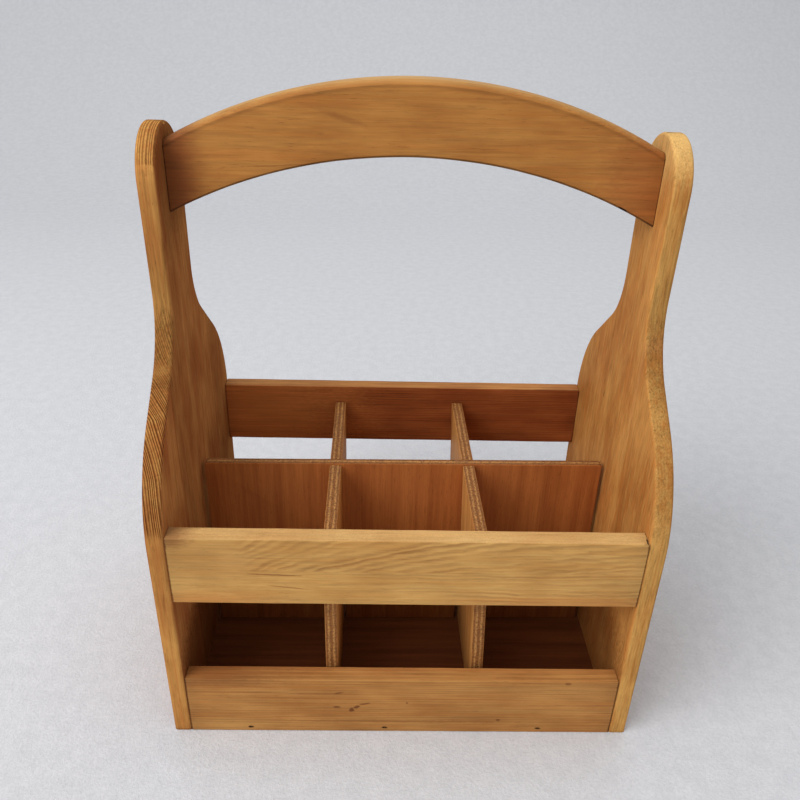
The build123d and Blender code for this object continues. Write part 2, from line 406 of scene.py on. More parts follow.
        # Stain and glue gather in the joint at each end, and painted shade darkens the last few mm
        # before each end board
        to_end = s.minus(INNER_HALF_WIDTH, s.size(along))
        joint = s.ramp(to_end, 0.15, 0.7, -0.5, 0.0)
        shade = s.add(shade, s.times(joint, s.ramp(on_face, 0.0, 1.0, 0.25, 1.0)))
        shade = s.add(shade, s.ramp(s.add(to_end, s.swing(coarse, 5.0)), 0.0, 9.0, -0.12, 0.0))
    colour = s.level(colour, shade)

    roughness = s.add(s.times(fine, 0.2), s.times(opened, 0.1), WOOD_ROUGHNESS)
    relief = s.add(s.times(fine, 0.9), s.times(s.times(ring, lines), 0.5), s.times(pores, -0.7))
    relief = s.add(relief, s.times(s.times(speckle, opened), 0.7))
    coat = COAT_SHARE * specular
    return s.finish(colour, roughness, relief, WOOD_RELIEF, coat=coat, specular=specular)


LARGEST_DRIFT = 40.0  # mm, a little more than any ring drifts


def swept_rings(drift, wander, cell, seed):
    """Rings that lie flat near the board's middle line and drift through the board beyond it.

    drift is given as (distance from that line, how far the rings have moved), in mm.
    """
    def figure(s, space, along, across, through):
        sway = s.swing(s.noise(space, cell, seed, 1.5), wander)
        drifted = s.times(by_distance(s, across, drift, LARGEST_DRIFT), LARGEST_DRIFT)
        return s.add(through, drifted, sway)
    return figure


def straight_rings(slope, through_share, wander, cell=(90, 12, 12), seed=0.0):
    """Rings that stand on edge, so they draw nearly straight lines along the face."""
    def figure(s, space, along, across, through):
        sway = s.swing(s.noise(space, cell, seed, 2.0), wander)
        return s.add(across, s.times(along, slope), s.times(through, through_share), sway)
    return figure


def cathedral_rings(crown, slope, widening, wander, seed):
    """Nearly level rings whose tops show as tall arches on the front part of the board's face."""
    def figure(s, space, along, across, through):
        sway = s.swing(s.noise(space, (70, 22, 22), seed, 1.5), wander)
        off = s.minus(across, crown)
        arch = s.times(s.times(off, off), widening)
        return s.add(through, s.times(along, slope), arch, sway)
    return figure


# The feather figure, in mm
SPINE = 0.5  # over the board's middle, where the feather's lines start
FEATHER_START = -76.0  # along the board
FEATHER_CLIMB = 48.0  # how high its lines sweep in the end
FEATHER_REACH = 80.0  # along the board, over which they do most of it


def feather_rings(s, space, along, across, through):
    """Lines that leave a level spine and sweep up to the right, as beside a grown-in branch."""
    over = s.math("MAXIMUM", s.minus(across, SPINE), 0.0)
    under = s.math("MINIMUM", s.minus(across, SPINE), 0.0)
    past_start = s.math("MAXIMUM", s.add(along, -FEATHER_START), 0.0)
    fade = s.math("EXPONENT", s.times(past_start, -1 / FEATHER_REACH))
    climb = s.times(s.minus(1.0, fade), FEATHER_CLIMB)
    above = s.ramp(over, 0.0, 0.5)
    ripple = s.swing(s.noise(space, (14, 5, 20), 3.3, 2.0), 1.6)
    sway = s.swing(s.noise(space, (60, 14, 14), 6.1, 2.0), 2.6)
    sweep = s.times(s.minus(over, s.times(climb, above)), 0.7)
    return s.add(sweep, under, sway, ripple)


def feather_strength(s, along, across):
    """The feather's lines are strong over the spine and on the right, and faint before its start."""
    started = s.ramp(along, FEATHER_START - 8, FEATHER_START + 8, 0.12, 1.0)
    over = s.ramp(across, SPINE - 0.5, SPINE + 0.5, 0.4, 1.0)
    to_right = s.ramp(along, 0.0, 60.0, 0.0, 0.5)
    return s.times(started, s.math("MINIMUM", s.add(over, to_right), 1.0))


# ------------ meshes of the boards
def smooth_mesh(name, build):
    """Turns a bmesh into a smooth object in the scene."""
    mesh = bpy.data.meshes.new(name)
    build.to_mesh(mesh)
    build.free()
    for polygon in mesh.polygons:
        polygon.use_smooth = True
    return add_object(name, mesh)


def link_mesh(node, build, body, material):
    """Turns a bmesh into a piece that stands for a CAD node and rides on its body."""
    bmesh.ops.recalc_face_normals(build, faces=build.faces)
    piece = smooth_mesh(node + "_board", build)
    piece.data.set_sharp_from_angle(angle=math.radians(38))
    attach(piece, body)
    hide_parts(node)
    piece.data.materials.append(material)


def wave(point, seed, size=26.0):
    """A slow wave left by hand sanding, from 0 to 1, at a point in mm."""
    return 0.5 + 0.5 * noise.noise(Vector(point) / size + Vector((seed, 0.0, 0.0)))


PUNCHED = (2.3, 1.4, 1.8)  # width, height and depth of the hole over a brad, in mm
PUNCHED_CORNERS = 14


def punch(build, centre, outward, seed):
    """Sinks a ragged slit into a flat face, as a brad's head leaves when it is punched in."""
    centre, outward = Vector(centre) * MM, Vector(outward)
    level = outward.cross(Vector((0, 0, 1)))
    width, height, depth = PUNCHED
    clear = 0.9 * max(width, height) * MM
    doomed = []
    for face in build.faces:
        face.normal_update()
        away = (face.calc_center_median() - centre).dot(outward)
        if face.normal.dot(outward) ** 2 < 0.98 or abs(away) > 0.1 * MM:
            continue
        corners = [vert.co - centre for vert in face.verts]
        spans = [[corner.dot(axis) for corner in corners] for axis in (level, Vector((0, 0, 1)))]
        if all(min(span) < clear and max(span) > -clear for span in spans):
            doomed.append(face)
    rim_edges = [
        edge for edge in {edge for face in doomed for edge in face.edges}
        if sum(face in doomed for face in edge.link_faces) == 1
    ]
    bmesh.ops.delete(build, geom=doomed, context="FACES")
    rings = []
    for share, sunk in ((1.0, 0.0), (0.86, 0.25), (0.8, depth)):
        ring = []
        for step in range(PUNCHED_CORNERS):
            angle = 2 * math.pi * step / PUNCHED_CORNERS
            across, up = math.cos(angle), math.sin(angle)
            ragged = 1 + 0.22 * noise.noise(Vector((across * 1.3, up * 1.3, seed)))
            spot = level * across * width / 2 + Vector((0, 0, up * height / 2))
            ring.append(build.verts.new(centre + (spot * ragged * share - outward * sunk) * MM))
        rings.append(ring)
    top = rings[0]
    top_edges = [build.edges.new((top[step - 1], top[step])) for step in range(PUNCHED_CORNERS)]
    bmesh.ops.bridge_loops(build, edges=rim_edges + top_edges)
    for upper, lower in zip(rings, rings[1:]):
        for step in range(PUNCHED_CORNERS):
            build.faces.new((upper[step - 1], upper[step], lower[step], lower[step - 1]))
    build.faces.new(rings[-1])


def arc_points(centre, radius, start, end, count):
    """Points on an arc, without its first one, each with its direction from the centre."""
    points = []
    for step in range(1, count + 1):
        angle = start + (end - start) * step / count
        outward = Vector((math.cos(angle), math.sin(angle)))
        points.append((Vector(centre) + outward * radius, outward))
    return points


def panel_rim(drop, slope_share, round_share):
    """Half of the end board's outline, from the ground up, as (point, outward) in (y, z) mm."""
    head = Vector((0, PANEL_HEIGHT - HEAD_RADIUS))
    shoulder_height = UPPER_RAIL_BASE + RAIL_HEIGHT - drop
    waist_height = head.y - NECK_LENGTH
    across = HALF_DEPTH - NECK_HALF_WIDTH
    up = waist_height - shoulder_height
    slope = slope_share * 2 * math.atan(across / up)
    both = (up * math.sin(slope) - across * math.cos(slope)) / (1 - math.cos(slope))
    shoulder_radius = round_share * both
    hollow_radius = both - shoulder_radius
    shoulder = Vector((HALF_DEPTH - shoulder_radius, shoulder_height))
    hollow = Vector((NECK_HALF_WIDTH + hollow_radius, waist_height))
    to_hollow = hollow - head
    flare = math.atan2(to_hollow.y, to_hollow.x)
    flare += math.acos((HEAD_RADIUS + hollow_radius) / to_hollow.length)

    def straight(first, last, outward, count):
        return [(first.lerp(last, step / count), outward) for step in range(1, count + 1)]

    side = Vector((1, 0))
    foot = Vector((HALF_DEPTH, 0))
    toe = Vector((HALF_DEPTH, 0.4))
    rim = [(foot, side), (toe, side)]
    rim += straight(toe, Vector((HALF_DEPTH, shoulder_height)), side, 44)
    rim += arc_points(shoulder, shoulder_radius, 0, slope, 34)
    leaning = Vector((math.cos(slope), math.sin(slope)))
    slope_end = hollow - leaning * hollow_radius
    rim += straight(shoulder + leaning * shoulder_radius, slope_end, leaning, 10)
    for point, outward in arc_points(hollow, hollow_radius, math.pi + slope, math.pi + flare, 26):
        rim.append((point, -outward))
    flaring = Vector((math.cos(flare), math.sin(flare)))
    rim += straight(hollow - flaring * hollow_radius, head + flaring * HEAD_RADIUS, flaring, 22)
    rim += arc_points(head, HEAD_RADIUS, flare, math.pi / 2 - 0.03, 34)
    return rim


PANEL_COLUMNS = 30
FOOT_EASE = 0.35
SANDED = 0.16  # how deep hand sanding waves the arrises


def rounded_section(radius, thickness, steps=5, flat=3):
    """Levels over a board's edge, as (set-in, depth) from one face to the other, in mm."""
    turn = []
    for step in range(steps + 1):
        angle = math.pi / 2 * step / steps
        turn.append((radius * (1 - math.sin(angle)), radius * (1 - math.cos(angle))))
    middle = [(0.0, radius + (thickness - 2 * radius) * step / flat) for step in range(1, flat)]
    return turn + middle + [(inset, thickness - depth) for inset, depth in reversed(turn)]


def end_panel_mesh(side, seed):
    """The end board: rows across it follow its rim, and its arrises are rounded and hand sanded."""
    rims = {hand: panel_rim(**SHOULDERS[hand]) for hand in (-1, 1)}
    section = rounded_section(PANEL_EDGE_RADIUS, PANEL_THICKNESS)
    last = len(section) - 1
    top = len(rims[1]) - 1
    build = bmesh.new()
    loops = {}
    for hand, rim in rims.items():
        for row, (point, outward) in enumerate(rim):
            for level, (inset, depth) in enumerate(section):
                sanded = SANDED * wave((hand * point.x, point.y, depth * 3), seed)
                foot = FOOT_EASE if row == 0 else 0.0
                edge = point - outward * (inset + max(sanded, foot))
                place = (side * (INNER_HALF_WIDTH + depth), hand * edge.x, edge.y)
                loops[hand, row, level] = build.verts.new(Vector(place) * MM)
    for hand in (-1, 1):
        for row in range(top):
            for level in range(last):
                build.faces.new((
                    loops[hand, row, level], loops[hand, row, level + 1],
                    loops[hand, row + 1, level + 1], loops[hand, row + 1, level],
                ))
    rows = {}
    for level in (0, last):
        for row in range(top + 1):
            first, end = loops[-1, row, level], loops[1, row, level]
            between = [
                build.verts.new(first.co.lerp(end.co, column / PANEL_COLUMNS))
                for column in range(1, PANEL_COLUMNS)
            ]
            rows[level, row] = [first] + between + [end]
        for row in range(top):
            low, high = rows[level, row], rows[level, row + 1]
            for column in range(PANEL_COLUMNS):
                build.faces.new((low[column], low[column + 1], high[column + 1], high[column]))
    # The foot stands flat, and the head closes over its middle
    for row in (0, top):
        around = rows[0, row] + [loops[1, row, level] for level in range(1, last)]
        around += rows[last, row][::-1] + [loops[-1, row, level] for level in range(last - 1, 0, -1)]
        build.faces.new(around)
    outward = (side, 0, 0)
    for number, (y, z) in enumerate(side_brads(side)):
        punch(build, (side * OUTER_FACE, y, z), outward, seed + number)
    return build


def apart(spacing):
    """Two places a spacing apart, one on either side of 0."""
    return -spacing / 2, spacing / 2


def side_brads(side):
    """Where brads were driven through the end board on one side, as (y, z) in mm."""
    spots = [
        (y, base + RAIL_HEIGHT / 2 + step)
        for y in (-RAIL_MIDDLE, RAIL_MIDDLE)
        for base in (0, UPPER_RAIL_BASE)
        for step in apart(RAIL_BRAD_SPACING)
    ]
    end = "left" if side < 0 else "right"
    handle_middle = HANDLE_TOP[end] - HANDLE_HEIGHT[end] / 2
    spots += [(0, handle_middle + step) for step in apart(HANDLE_BRAD_SPACING)]
    spots += [(y, FLOOR_THICKNESS / 2) for y in apart(SIDE_FLOOR_BRAD_SPACING)]
    return spots


END_EASE = 0.35  # the boards' ends are eased, which draws the dark joint lines
END_ROWS = (0.0, END_EASE, 1.0, 2.0)


def board_section(half_thickness, upper_radius, lower_radius, height, crown=1.0):
    """Points around a board's section, as (y, share, z): share of the half height, and mm past it.

    A crown of 1 rounds the arrises to an arc, and 2 would cut them to a straight chamfer.
    """
    corner_steps = 8
    corners = []
    for corner, (sign_y, sign_z) in enumerate(((1, 1), (-1, 1), (-1, -1), (1, -1))):
        radius = upper_radius if sign_z > 0 else lower_radius
        for step in range(corner_steps + 1):
            angle = math.pi / 2 * (corner + step / corner_steps)
            over, up = abs(math.cos(angle)) ** crown, abs(math.sin(angle)) ** crown
            y = sign_y * (half_thickness - radius + radius * over)
            corners.append(Vector((y, sign_z, sign_z * radius * (up - 1))))
    outline = []
    for index, here in enumerate(corners):
        after = corners[(index + 1) % len(corners)]
        run = math.hypot(after.x - here.x, (after.y - here.y) * height / 2 + after.z - here.z)
        pieces = max(1, round(run / 2.2))
        outline += [here.lerp(after, step / pieces) for step in range(pieces)]
    return outline


def swept_board(heights, middle_y, thickness, upper_radius, lower_radius, seed,
                chips=(), crown=1.0):
    """A board from end board to end board, whose section is a rectangle with rounded corners.

    heights gives its lower and upper edge at each x. chips are (point, reach, depth) where the wood
    has broken away.
    """
    build = bmesh.new()
    half_thickness = thickness / 2
    low, high = heights(0.0)
    outline = board_section(half_thickness, upper_radius, lower_radius, high - low, crown)
    rows = 144
    inner = [-INNER_HALF_WIDTH + 2 * INNER_HALF_WIDTH * row / rows for row in range(2, rows - 1)]
    near_end = [INNER_HALF_WIDTH - gap for gap in END_ROWS]
    places = [-x for x in near_end] + inner + near_end[::-1]
    loops = []
    for x in places:
        low, high = heights(x)
        half_height = (high - low) / 2
        at_end = INNER_HALF_WIDTH - abs(x) < END_EASE / 2
        loop = []
        for y, share, past in outline:
            z = share * half_height + past
            out = Vector((y / half_thickness, z / half_height)).normalized()
            on_arris = abs(y) > half_thickness * 0.72 and abs(z) > half_height - 1.3 * upper_radius
            inset = SANDED * wave((x, y * 3, z), seed, 14.0) * on_arris + END_EASE * at_end
            place = Vector((x, middle_y + y - out.x * inset, low + half_height + z - out.y * inset))
            for spot, reach, depth in chips:
                away = (place - Vector(spot)).length / reach
                if away < 1:
                    place -= Vector((0, out.x, out.y)) * depth * (1 - away * away)
            loop.append(build.verts.new(place * MM))
        loops.append(loop)
    for near, far in zip(loops, loops[1:]):
        for index in range(len(outline)):
            build.faces.new((near[index - 1], near[index], far[index], far[index - 1]))
    build.faces.new(loops[0])
    build.faces.new(loops[-1])
    return build


def arc_height(left, middle, right):
    """A function of x that follows the circle through the heights at both ends and the middle."""
    rise = left + right - 2 * middle
    centre_z = (2 * INNER_HALF_WIDTH**2 + left**2 + right**2 - 2 * middle**2) / (2 * rise)
    centre_x = (right - left) * (left + right - 2 * centre_z) / (4 * INNER_HALF_WIDTH)
    radius = math.hypot(centre_x, middle - centre_z)
    return lambda x: centre_z + math.sqrt(radius**2 - (x - centre_x) ** 2)


handle_upper = arc_height(**HANDLE_TOP)
handle_lower = arc_height(**{end: HANDLE_TOP[end] - HANDLE_HEIGHT[end] for end in HANDLE_TOP})


def handle_heights(x):
    return handle_lower(x), handle_upper(x)


# ------------ the boards
UPRIGHT = dict(along=(0, 0, 1), across=(0, 1, 0))
LEVEL = dict(along=(1, 0, 0), across=(0, 0, 1))
PANEL_MIDDLE = INNER_HALF_WIDTH + PANEL_THICKNESS / 2
RUST = srgb(120, 62, 26)
ORANGE = srgb(190, 106, 46)
HOLE = srgb(18, 9, 5)


def left_panel_wood():
    return wood(
        "left_panel_wood", board_frame((-PANEL_MIDDLE, 0, PANEL_HEIGHT / 2), **UPRIGHT),
        face=(srgb(188, 131, 75), srgb(157, 95, 53)), edge=(srgb(198, 146, 80), srgb(168, 110, 58)),
        late=srgb(86, 42, 18), spacing=1.15,
        figure=swept_rings(
            [(0, 0), (22, 0), (30, 6), (53, 27), (70, 36), (80, 39)],
            wander=0.8, cell=(46, 26, 26), seed=2.0,
        ),
        side_lines=0.2, end_lines=1.0, seed=1.3, end_dark=0.05, flecks=0.3, fibre=0.4,
        hairs=0.16, specular=0.0,
        lines_by_across=[(0, 0.75), (20.7, 0.75), (20.9, 0.2), (24, 0.6), (31, 0.75),
                         (34, 0.3), (38, 0.8), (50, 1.0), (78.6, 1.0), (79.2, 0.3)],
        tone_by_across=[(0, 0.56), (0.24, 0.47), (0.36, 0.5),
                        (0.55, 0.52), (0.74, 0.47), (0.9, 0.5)],
        tone_by_along=[(0, 0.5), (0.3, 0.5), (0.42, 0.47), (0.55, 0.45), (0.65, 0.42), (0.7, 0.4),
                       (0.82, 0.46), (0.9, 0.5), (0.94, 0.59)],
        marks=[
            # Painted shade on the inner face of the head, around the handle's left end
            Mark((124, 0, -4.5), (30, 36, 5), 0.45, srgb(96, 44, 20), soft=0.5, on_face=True),
            # Painted shade on the inner face down in the lower cells, under the upper rail
            Mark((-118, 0, -4.5), (34, 110, 5), 0.65, srgb(84, 44, 22), soft=0.35, on_face=True),
        ],
    )


def right_panel_wood():
    return wood(
        "right_panel_wood", board_frame((PANEL_MIDDLE, 0, PANEL_HEIGHT / 2), **UPRIGHT),
        face=(srgb(206, 148, 80), srgb(178, 112, 54)), edge=(srgb(208, 158, 88), srgb(174, 116, 58)),
        late=srgb(112, 60, 26), spacing=1.5,
        figure=cathedral_rings(crown=-48.0, slope=0.01, widening=0.0022, wander=0.7, seed=5.0),
        side_lines=0.22, end_lines=0.12, seed=4.1, end_dark=0.08, patchy=0.85, flecks=0.2,
        fibre_length=9.0, fibre=0.42, hairs=0.19, edge_speckle=0.12, specular=0.02,
        lines_by_across=[(0, 0.35), (26, 1.0), (72, 0.8)],
        tone_by_across=[(0, 0.5), (0.12, 0.48), (0.3, 0.52),
                        (0.46, 0.49), (0.66, 0.52), (0.84, 0.48)],
        tone_by_along=[(0, 0.52), (0.3, 0.52), (0.42, 0.44), (0.5, 0.46), (0.58, 0.47), (0.64, 0.4),
                       (0.71, 0.36), (0.78, 0.42), (0.86, 0.47), (0.92, 0.55)],
        marks=[
            # Painted sheen: a pale streak along the inner face near its front arris
            Mark((34, -25), (30, 1.8), 0.22, srgb(226, 170, 108), slant=-0.02, soft=0.8),
            Mark((3.6, 22.6), (2.1, 0.35), 0.9, HOLE),
            # Painted highlight over the head
            Mark((149, 0), (23, 26), 0.4, srgb(230, 196, 128), soft=0.5),
            # Painted shade on the inner face down in the lower cells, under the upper rail
            Mark((-118, 0, 4.5), (34, 110, 5), 0.55, srgb(96, 48, 22), soft=0.35, on_face=True),
        ],
    )


def upper_rail_wood():
    return wood(
        "front_upper_wood", board_frame((0, -RAIL_MIDDLE, UPPER_RAIL_BASE + RAIL_HEIGHT / 2), **LEVEL),
        face=(srgb(209, 162, 94), srgb(192, 141, 76)), edge=(srgb(212, 170, 108), srgb(200, 152, 92)),
        late=srgb(128, 76, 34), figure=feather_rings, spacing=2.6,
        side_lines=0.55, end_lines=0.7, seed=2.2, joined=True, edge_lines=0.15,
        edge_speckle=0.26, figured=feather_strength, fibre=0.3, hairs=0.09,
        marks=[
            Mark((-61, -1.2), (12, 0.45), 0.6, RUST, slant=-0.035),
            Mark((-56, -8.6), (9, 0.4), 0.45, RUST, slant=-0.12),
            Mark((-79, 6.0), (9, 4.6), 0.35, srgb(222, 172, 104), soft=0.7),
            Mark((-95, 7.0), (22, 12), 0.3, srgb(146, 98, 50), soft=0.9),
            Mark((76, -17.0), (44, 3.6), 0.34, ORANGE, soft=0.8),
            Mark((-92, -17.0), (26, 4.4), 0.28, ORANGE, soft=0.8),
            # Painted shadow of the left end board on the rail's top, at its left end
            Mark((-108.5, 18.6), (8.5, 4.0), 0.6, srgb(112, 58, 28), soft=0.8),
            Mark((109.2, 19, 2.4), (0.4, 1.6, 2.1), 0.85, HOLE, ragged=0.6, grain=(0.9, 0.9, 0.9)),
        ],
    )


def lower_rail_wood():
    knot = srgb(104, 54, 22)
    return wood(
        "front_lower_wood", board_frame((0, -RAIL_MIDDLE, RAIL_HEIGHT / 2), **LEVEL),
        face=(srgb(190, 136, 74), srgb(168, 110, 54)), edge=(srgb(194, 138, 76), srgb(172, 112, 58)),
        late=srgb(116, 64, 28), figure=straight_rings(0.006, 0.7, 1.6, cell=(120, 12, 12), seed=3.0),
        spacing=1.5, side_lines=0.3, end_lines=0.7, seed=6.2, joined=True,
        fibre_length=38.0, hairs=0.14,
        marks=[
            Mark((-86, 9.9), (25, 0.22), 0.85, RUST, ragged=0.3),
            Mark((-40, 9.2), (16, 0.22), 0.5, RUST),
            Mark((-32.6, 9.9), (2.6, 0.5), 0.6, knot, slant=0.25),
            Mark((-33.8, -0.5), (1.9, 0.7), 0.7, knot),
            Mark((-26.1, -2.5), (1.3, 1.4), 0.85, knot, ragged=0.9),
            Mark((-23.6, -0.3), (1.5, 1.0), 0.8, knot, slant=0.3, ragged=0.9),
            Mark((-19.6, 1.9), (2.9, 0.6), 0.7, knot, slant=0.2, ragged=0.9),
            Mark((2.3, 2.8), (0.6, 0.45), 0.8, knot),
            Mark((50.5, -9.6), (1.1, 0.7), 0.7, knot),
            Mark((84, 17.5), (1.6, 0.8), 0.6, knot),
            Mark((-10, -11), (60, 0.9), 0.35, RUST, ragged=0.8),
            Mark((-84, -14), (26, 3.2), 0.4, srgb(206, 156, 88), soft=0.8),
            # Painted shade on the rail's top at its left end, in the corner under the upper rail
            Mark((-90, 19), (30, 4), 0.45, srgb(112, 60, 28), soft=0.8),
        ] + [
            Mark((x, FLOOR_THICKNESS / 2 - RAIL_HEIGHT / 2), (1.5, 0.75), 0.85, HOLE, ragged=0.4)
            for x in FRONT_FLOOR_BRADS
        ],
    )


def back_rail_wood():
    """One wood for both back rails."""
    return wood(
        "back_rail_wood", board_frame((0, RAIL_MIDDLE, 60), **LEVEL),
        face=(srgb(166, 92, 46), srgb(140, 70, 32)), edge=(srgb(196, 138, 76), srgb(172, 110, 56)),
        late=srgb(84, 38, 16), figure=straight_rings(0.004, 0.5, 1.6, seed=9.0), spacing=1.4,
        side_lines=0.5, end_lines=0.7, seed=8.2, joined=True, fibre_length=30.0,
        marks=[
            # Painted light: the back rails are made paler at the left, where the left end board shades
            # them
            Mark((-88, 48), (46, 60), 0.8, srgb(216, 134, 70), soft=0.8, on_face=True),
        ],
    )


def handle_wood():
    return wood(
        "handle_wood", board_frame((0, 0, 285), **LEVEL),
        face=(srgb(184, 126, 62), srgb(166, 106, 48)), edge=(srgb(200, 156, 96), srgb(184, 136, 78)),
        late=srgb(128, 74, 34), figure=straight_rings(0.02, 0.9, 6.0, cell=(120, 24, 24), seed=4.0),
        spacing=4.2, side_lines=0.22, end_lines=0.12, seed=9.4, joined=True,
        end_dark=0.0, flecks=0.14, fibre=0.28, hairs=0.1, arris_painted_shade=0.22,
        marks=[
            # Painted shadow of the left head over the handle's left end
            Mark((-110, -10), (14, 60), 0.75, srgb(116, 54, 24),
                 slant=-0.3, ragged=0.2, grain=(9, 6, 6), soft=0.5),
            # Reddish wood at the handle's right end, darkened further by painted shade beside the end
            # board
            Mark((102, -14), (18, 24), 0.45, srgb(140, 68, 32), soft=0.8),
            Mark((94.6, -24.6), (2.0, 0.6), 0.9, HOLE, slant=-0.5),
            Mark((-32, 12), (9, 1.2), 0.4, srgb(128, 72, 32), slant=-0.3, soft=0.7),
            Mark((-40, -7.6), (44, 0.3), 0.4, RUST, slant=0.05, ragged=0.9),
        ],
    )


def make_boards():
    for side, material, name in (
        (-1, left_panel_wood(), "left_end_panel"), (1, right_panel_wood(), "right_end_panel")
    ):
        build = end_panel_mesh(side, seed=side * 7.0)
        link_mesh(name, build, CADDY, material)

    chip = ((109.6, -78.6, 126.9), 2.2, 0.6)  # at the upper rail's right end
    back_material = back_rail_wood()
    for name, side, base, material, chips in (
        ("front_lower_rail", -1, 0.0, lower_rail_wood(), ()),
        ("front_upper_rail", -1, UPPER_RAIL_BASE, upper_rail_wood(), (chip,)),
        ("back_lower_rail", 1, 0.0, back_material, ()),
        ("back_upper_rail", 1, UPPER_RAIL_BASE, back_material, ()),
    ):
        build = swept_board(
            lambda x, base=base: (base, base + RAIL_HEIGHT), side * RAIL_MIDDLE, RAIL_THICKNESS,
            RAIL_EDGE_RADIUS, RAIL_EDGE_RADIUS, seed=base + side, chips=chips,
        )
        if base == 0:
            floor_brads = FRONT_FLOOR_BRADS if side < 0 else BACK_FLOOR_BRADS
            for number, x in enumerate(floor_brads):
                spot = (x, side * HALF_DEPTH, FLOOR_THICKNESS / 2)
                punch(build, spot, (0, side, 0), seed=number + 20.0)
        link_mesh(name, build, CADDY, material)

    build = swept_board(
        handle_heights, 0.0, HANDLE_THICKNESS, HANDLE_UPPER_RADIUS, HANDLE_LOWER_RADIUS, seed=3.0,
        crown=1.5,
    )
    link_mesh("handle", build, CADDY, handle_wood())


make_boards()


# ------------ plywood
# Colours that show on plywood's edges
VENEER = dict(
    along=srgb(186, 132, 76), across=srgb(146, 94, 50), torn=srgb(98, 60, 34),
    lit=srgb(216, 172, 120), glue=srgb(84, 46, 22),
)
SHADED_FOOT = (-48, -6)  # mm along an upright board: full painted shade, and no shade


def plywood(name, board, thickness, plies, face, seed, darker_below=0.0):
    """Thin plywood: veneers through the board, with the outer ones' grain along the board's frame.

    darker_below is how much painted shade darkens an upright board towards its foot, in the lower
    cells.
    """
    s = Shader(name)
    space = s.board_space(board)
    along, across, through = s.split(space)
    wobble = s.swing(s.noise(space, (7, 7, 3), seed, 3.0, 0.7), 0.5)
    layer = s.add(s.times(through, plies / thickness), wobble, plies / 2)
    crossed = s.ramp(s.math("PINGPONG", s.add(layer, -0.5), 1.0), 0.35, 0.65, 1.0, 0.0)
    glue = s.ramp(s.size(s.minus(s.math("FRACT", s.add(layer, 0.5)), 0.5)), 0.06, 0.16, 1.0, 0.0)
    below_face = s.minus(thickness / 2, s.size(through))
    on_edge = s.ramp(below_face, 0.1, 0.4)

    fine = s.noise(space, (22, 0.6, 0.6), seed + 2, 4.0, 0.7)
    bands = s.noise(space, (120, 5, 5), seed + 4, 3.0, 0.6)
    pores = s.ramp(s.noise(space, (3.5, 0.45, 0.45), seed + 6, 1.0), 0.62, 0.7)
    speck = s.noise(space, (0.9, 0.9, 0.9), seed + 8, 2.0, 0.6)
    face_colour = s.mix(s.ramp(bands, 0.25, 0.75), face[0], face[1])
    edge = s.mix(crossed, VENEER["along"], VENEER["across"])
    edge = s.mix(s.times(s.ramp(speck, 0.42, 0.64), 0.75), edge, VENEER["torn"])
    lit = s.times(s.ramp(speck, 0.62, 0.72, 0.0, 0.6), s.minus(1.0, crossed))
    edge = s.mix(lit, edge, VENEER["lit"])
    gluey = s.times(glue, s.ramp(speck, 0.35, 0.55, 1.0, 0.35))
    edge = s.mix(s.times(gluey, 0.55), edge, VENEER["glue"])
    colour = s.mix(on_edge, face_colour, edge)
    shade = s.add(s.swing(fine, 0.36), s.times(pores, -0.16))
    if darker_below:
        # Painted shade towards the foot, down in the lower cells
        shade = s.add(shade, s.ramp(along, *SHADED_FOOT, -darker_below, 0.0))
    colour = s.level(colour, shade)
    relief = s.add(fine, s.times(pores, -0.8), s.times(s.times(crossed, on_edge), -0.6))
    return s.finish(colour, s.add(s.times(fine, 0.2), 0.45), relief, 0.07, specular=0.08)


def divider_outline(length, height, slots, slot_width, slot_base, slot_height):
    """Corners of a divider's face around it, as (along, up) in mm, with rounded top corners."""
    half = length / 2
    steps = 6
    low, high = [], []
    for place in slots:
        left, right = place - slot_width / 2, place + slot_width / 2
        if slot_base == 0:
            low += [(left, 0), (left, slot_height), (right, slot_height), (right, 0)]
        else:
            high += [(right, height), (right, slot_base), (left, slot_base), (left, height)]
    corners = [(-half, 0.0)] + low + [(half, 0.0)]
    for centre, start in ((half - DIVIDER_CORNER_RADIUS, 0), (DIVIDER_CORNER_RADIUS - half, 1)):
        if start == 1:
            corners += high
        for step in range(steps + 1):
            angle = math.pi / 2 * (start + step / steps)
            corners.append((
                centre + DIVIDER_CORNER_RADIUS * math.cos(angle),
                height - DIVIDER_CORNER_RADIUS + DIVIDER_CORNER_RADIUS * math.sin(angle),
            ))
    return corners


def plate_mesh(outline, place, thickness):
    """A thin board with small rounded arrises; place's columns run along, up and through it."""
    build = bmesh.new()
    faces = {}
    for level in (-thickness / 2, thickness / 2):
        faces[level] = [build.verts.new(place @ (Vector((u, w, level)) * MM)) for u, w in outline]
    near, far = faces.values()
    build.faces.new(near)
    build.faces.new(far)
    for index in range(len(outline)):
        build.faces.new((near[index - 1], near[index], far[index], far[index - 1]))
    bmesh.ops.recalc_face_normals(build, faces=build.faces)
    rims = [edge for edge in build.edges if any(len(face.verts) > 4 for face in edge.link_faces)]
    bmesh.ops.bevel(
        build, geom=rims, offset=DIVIDER_EDGE_RADIUS * MM, offset_type="OFFSET", segments=3,
        profile=0.5, affect="EDGES", clamp_overlap=True,
    )
    return build


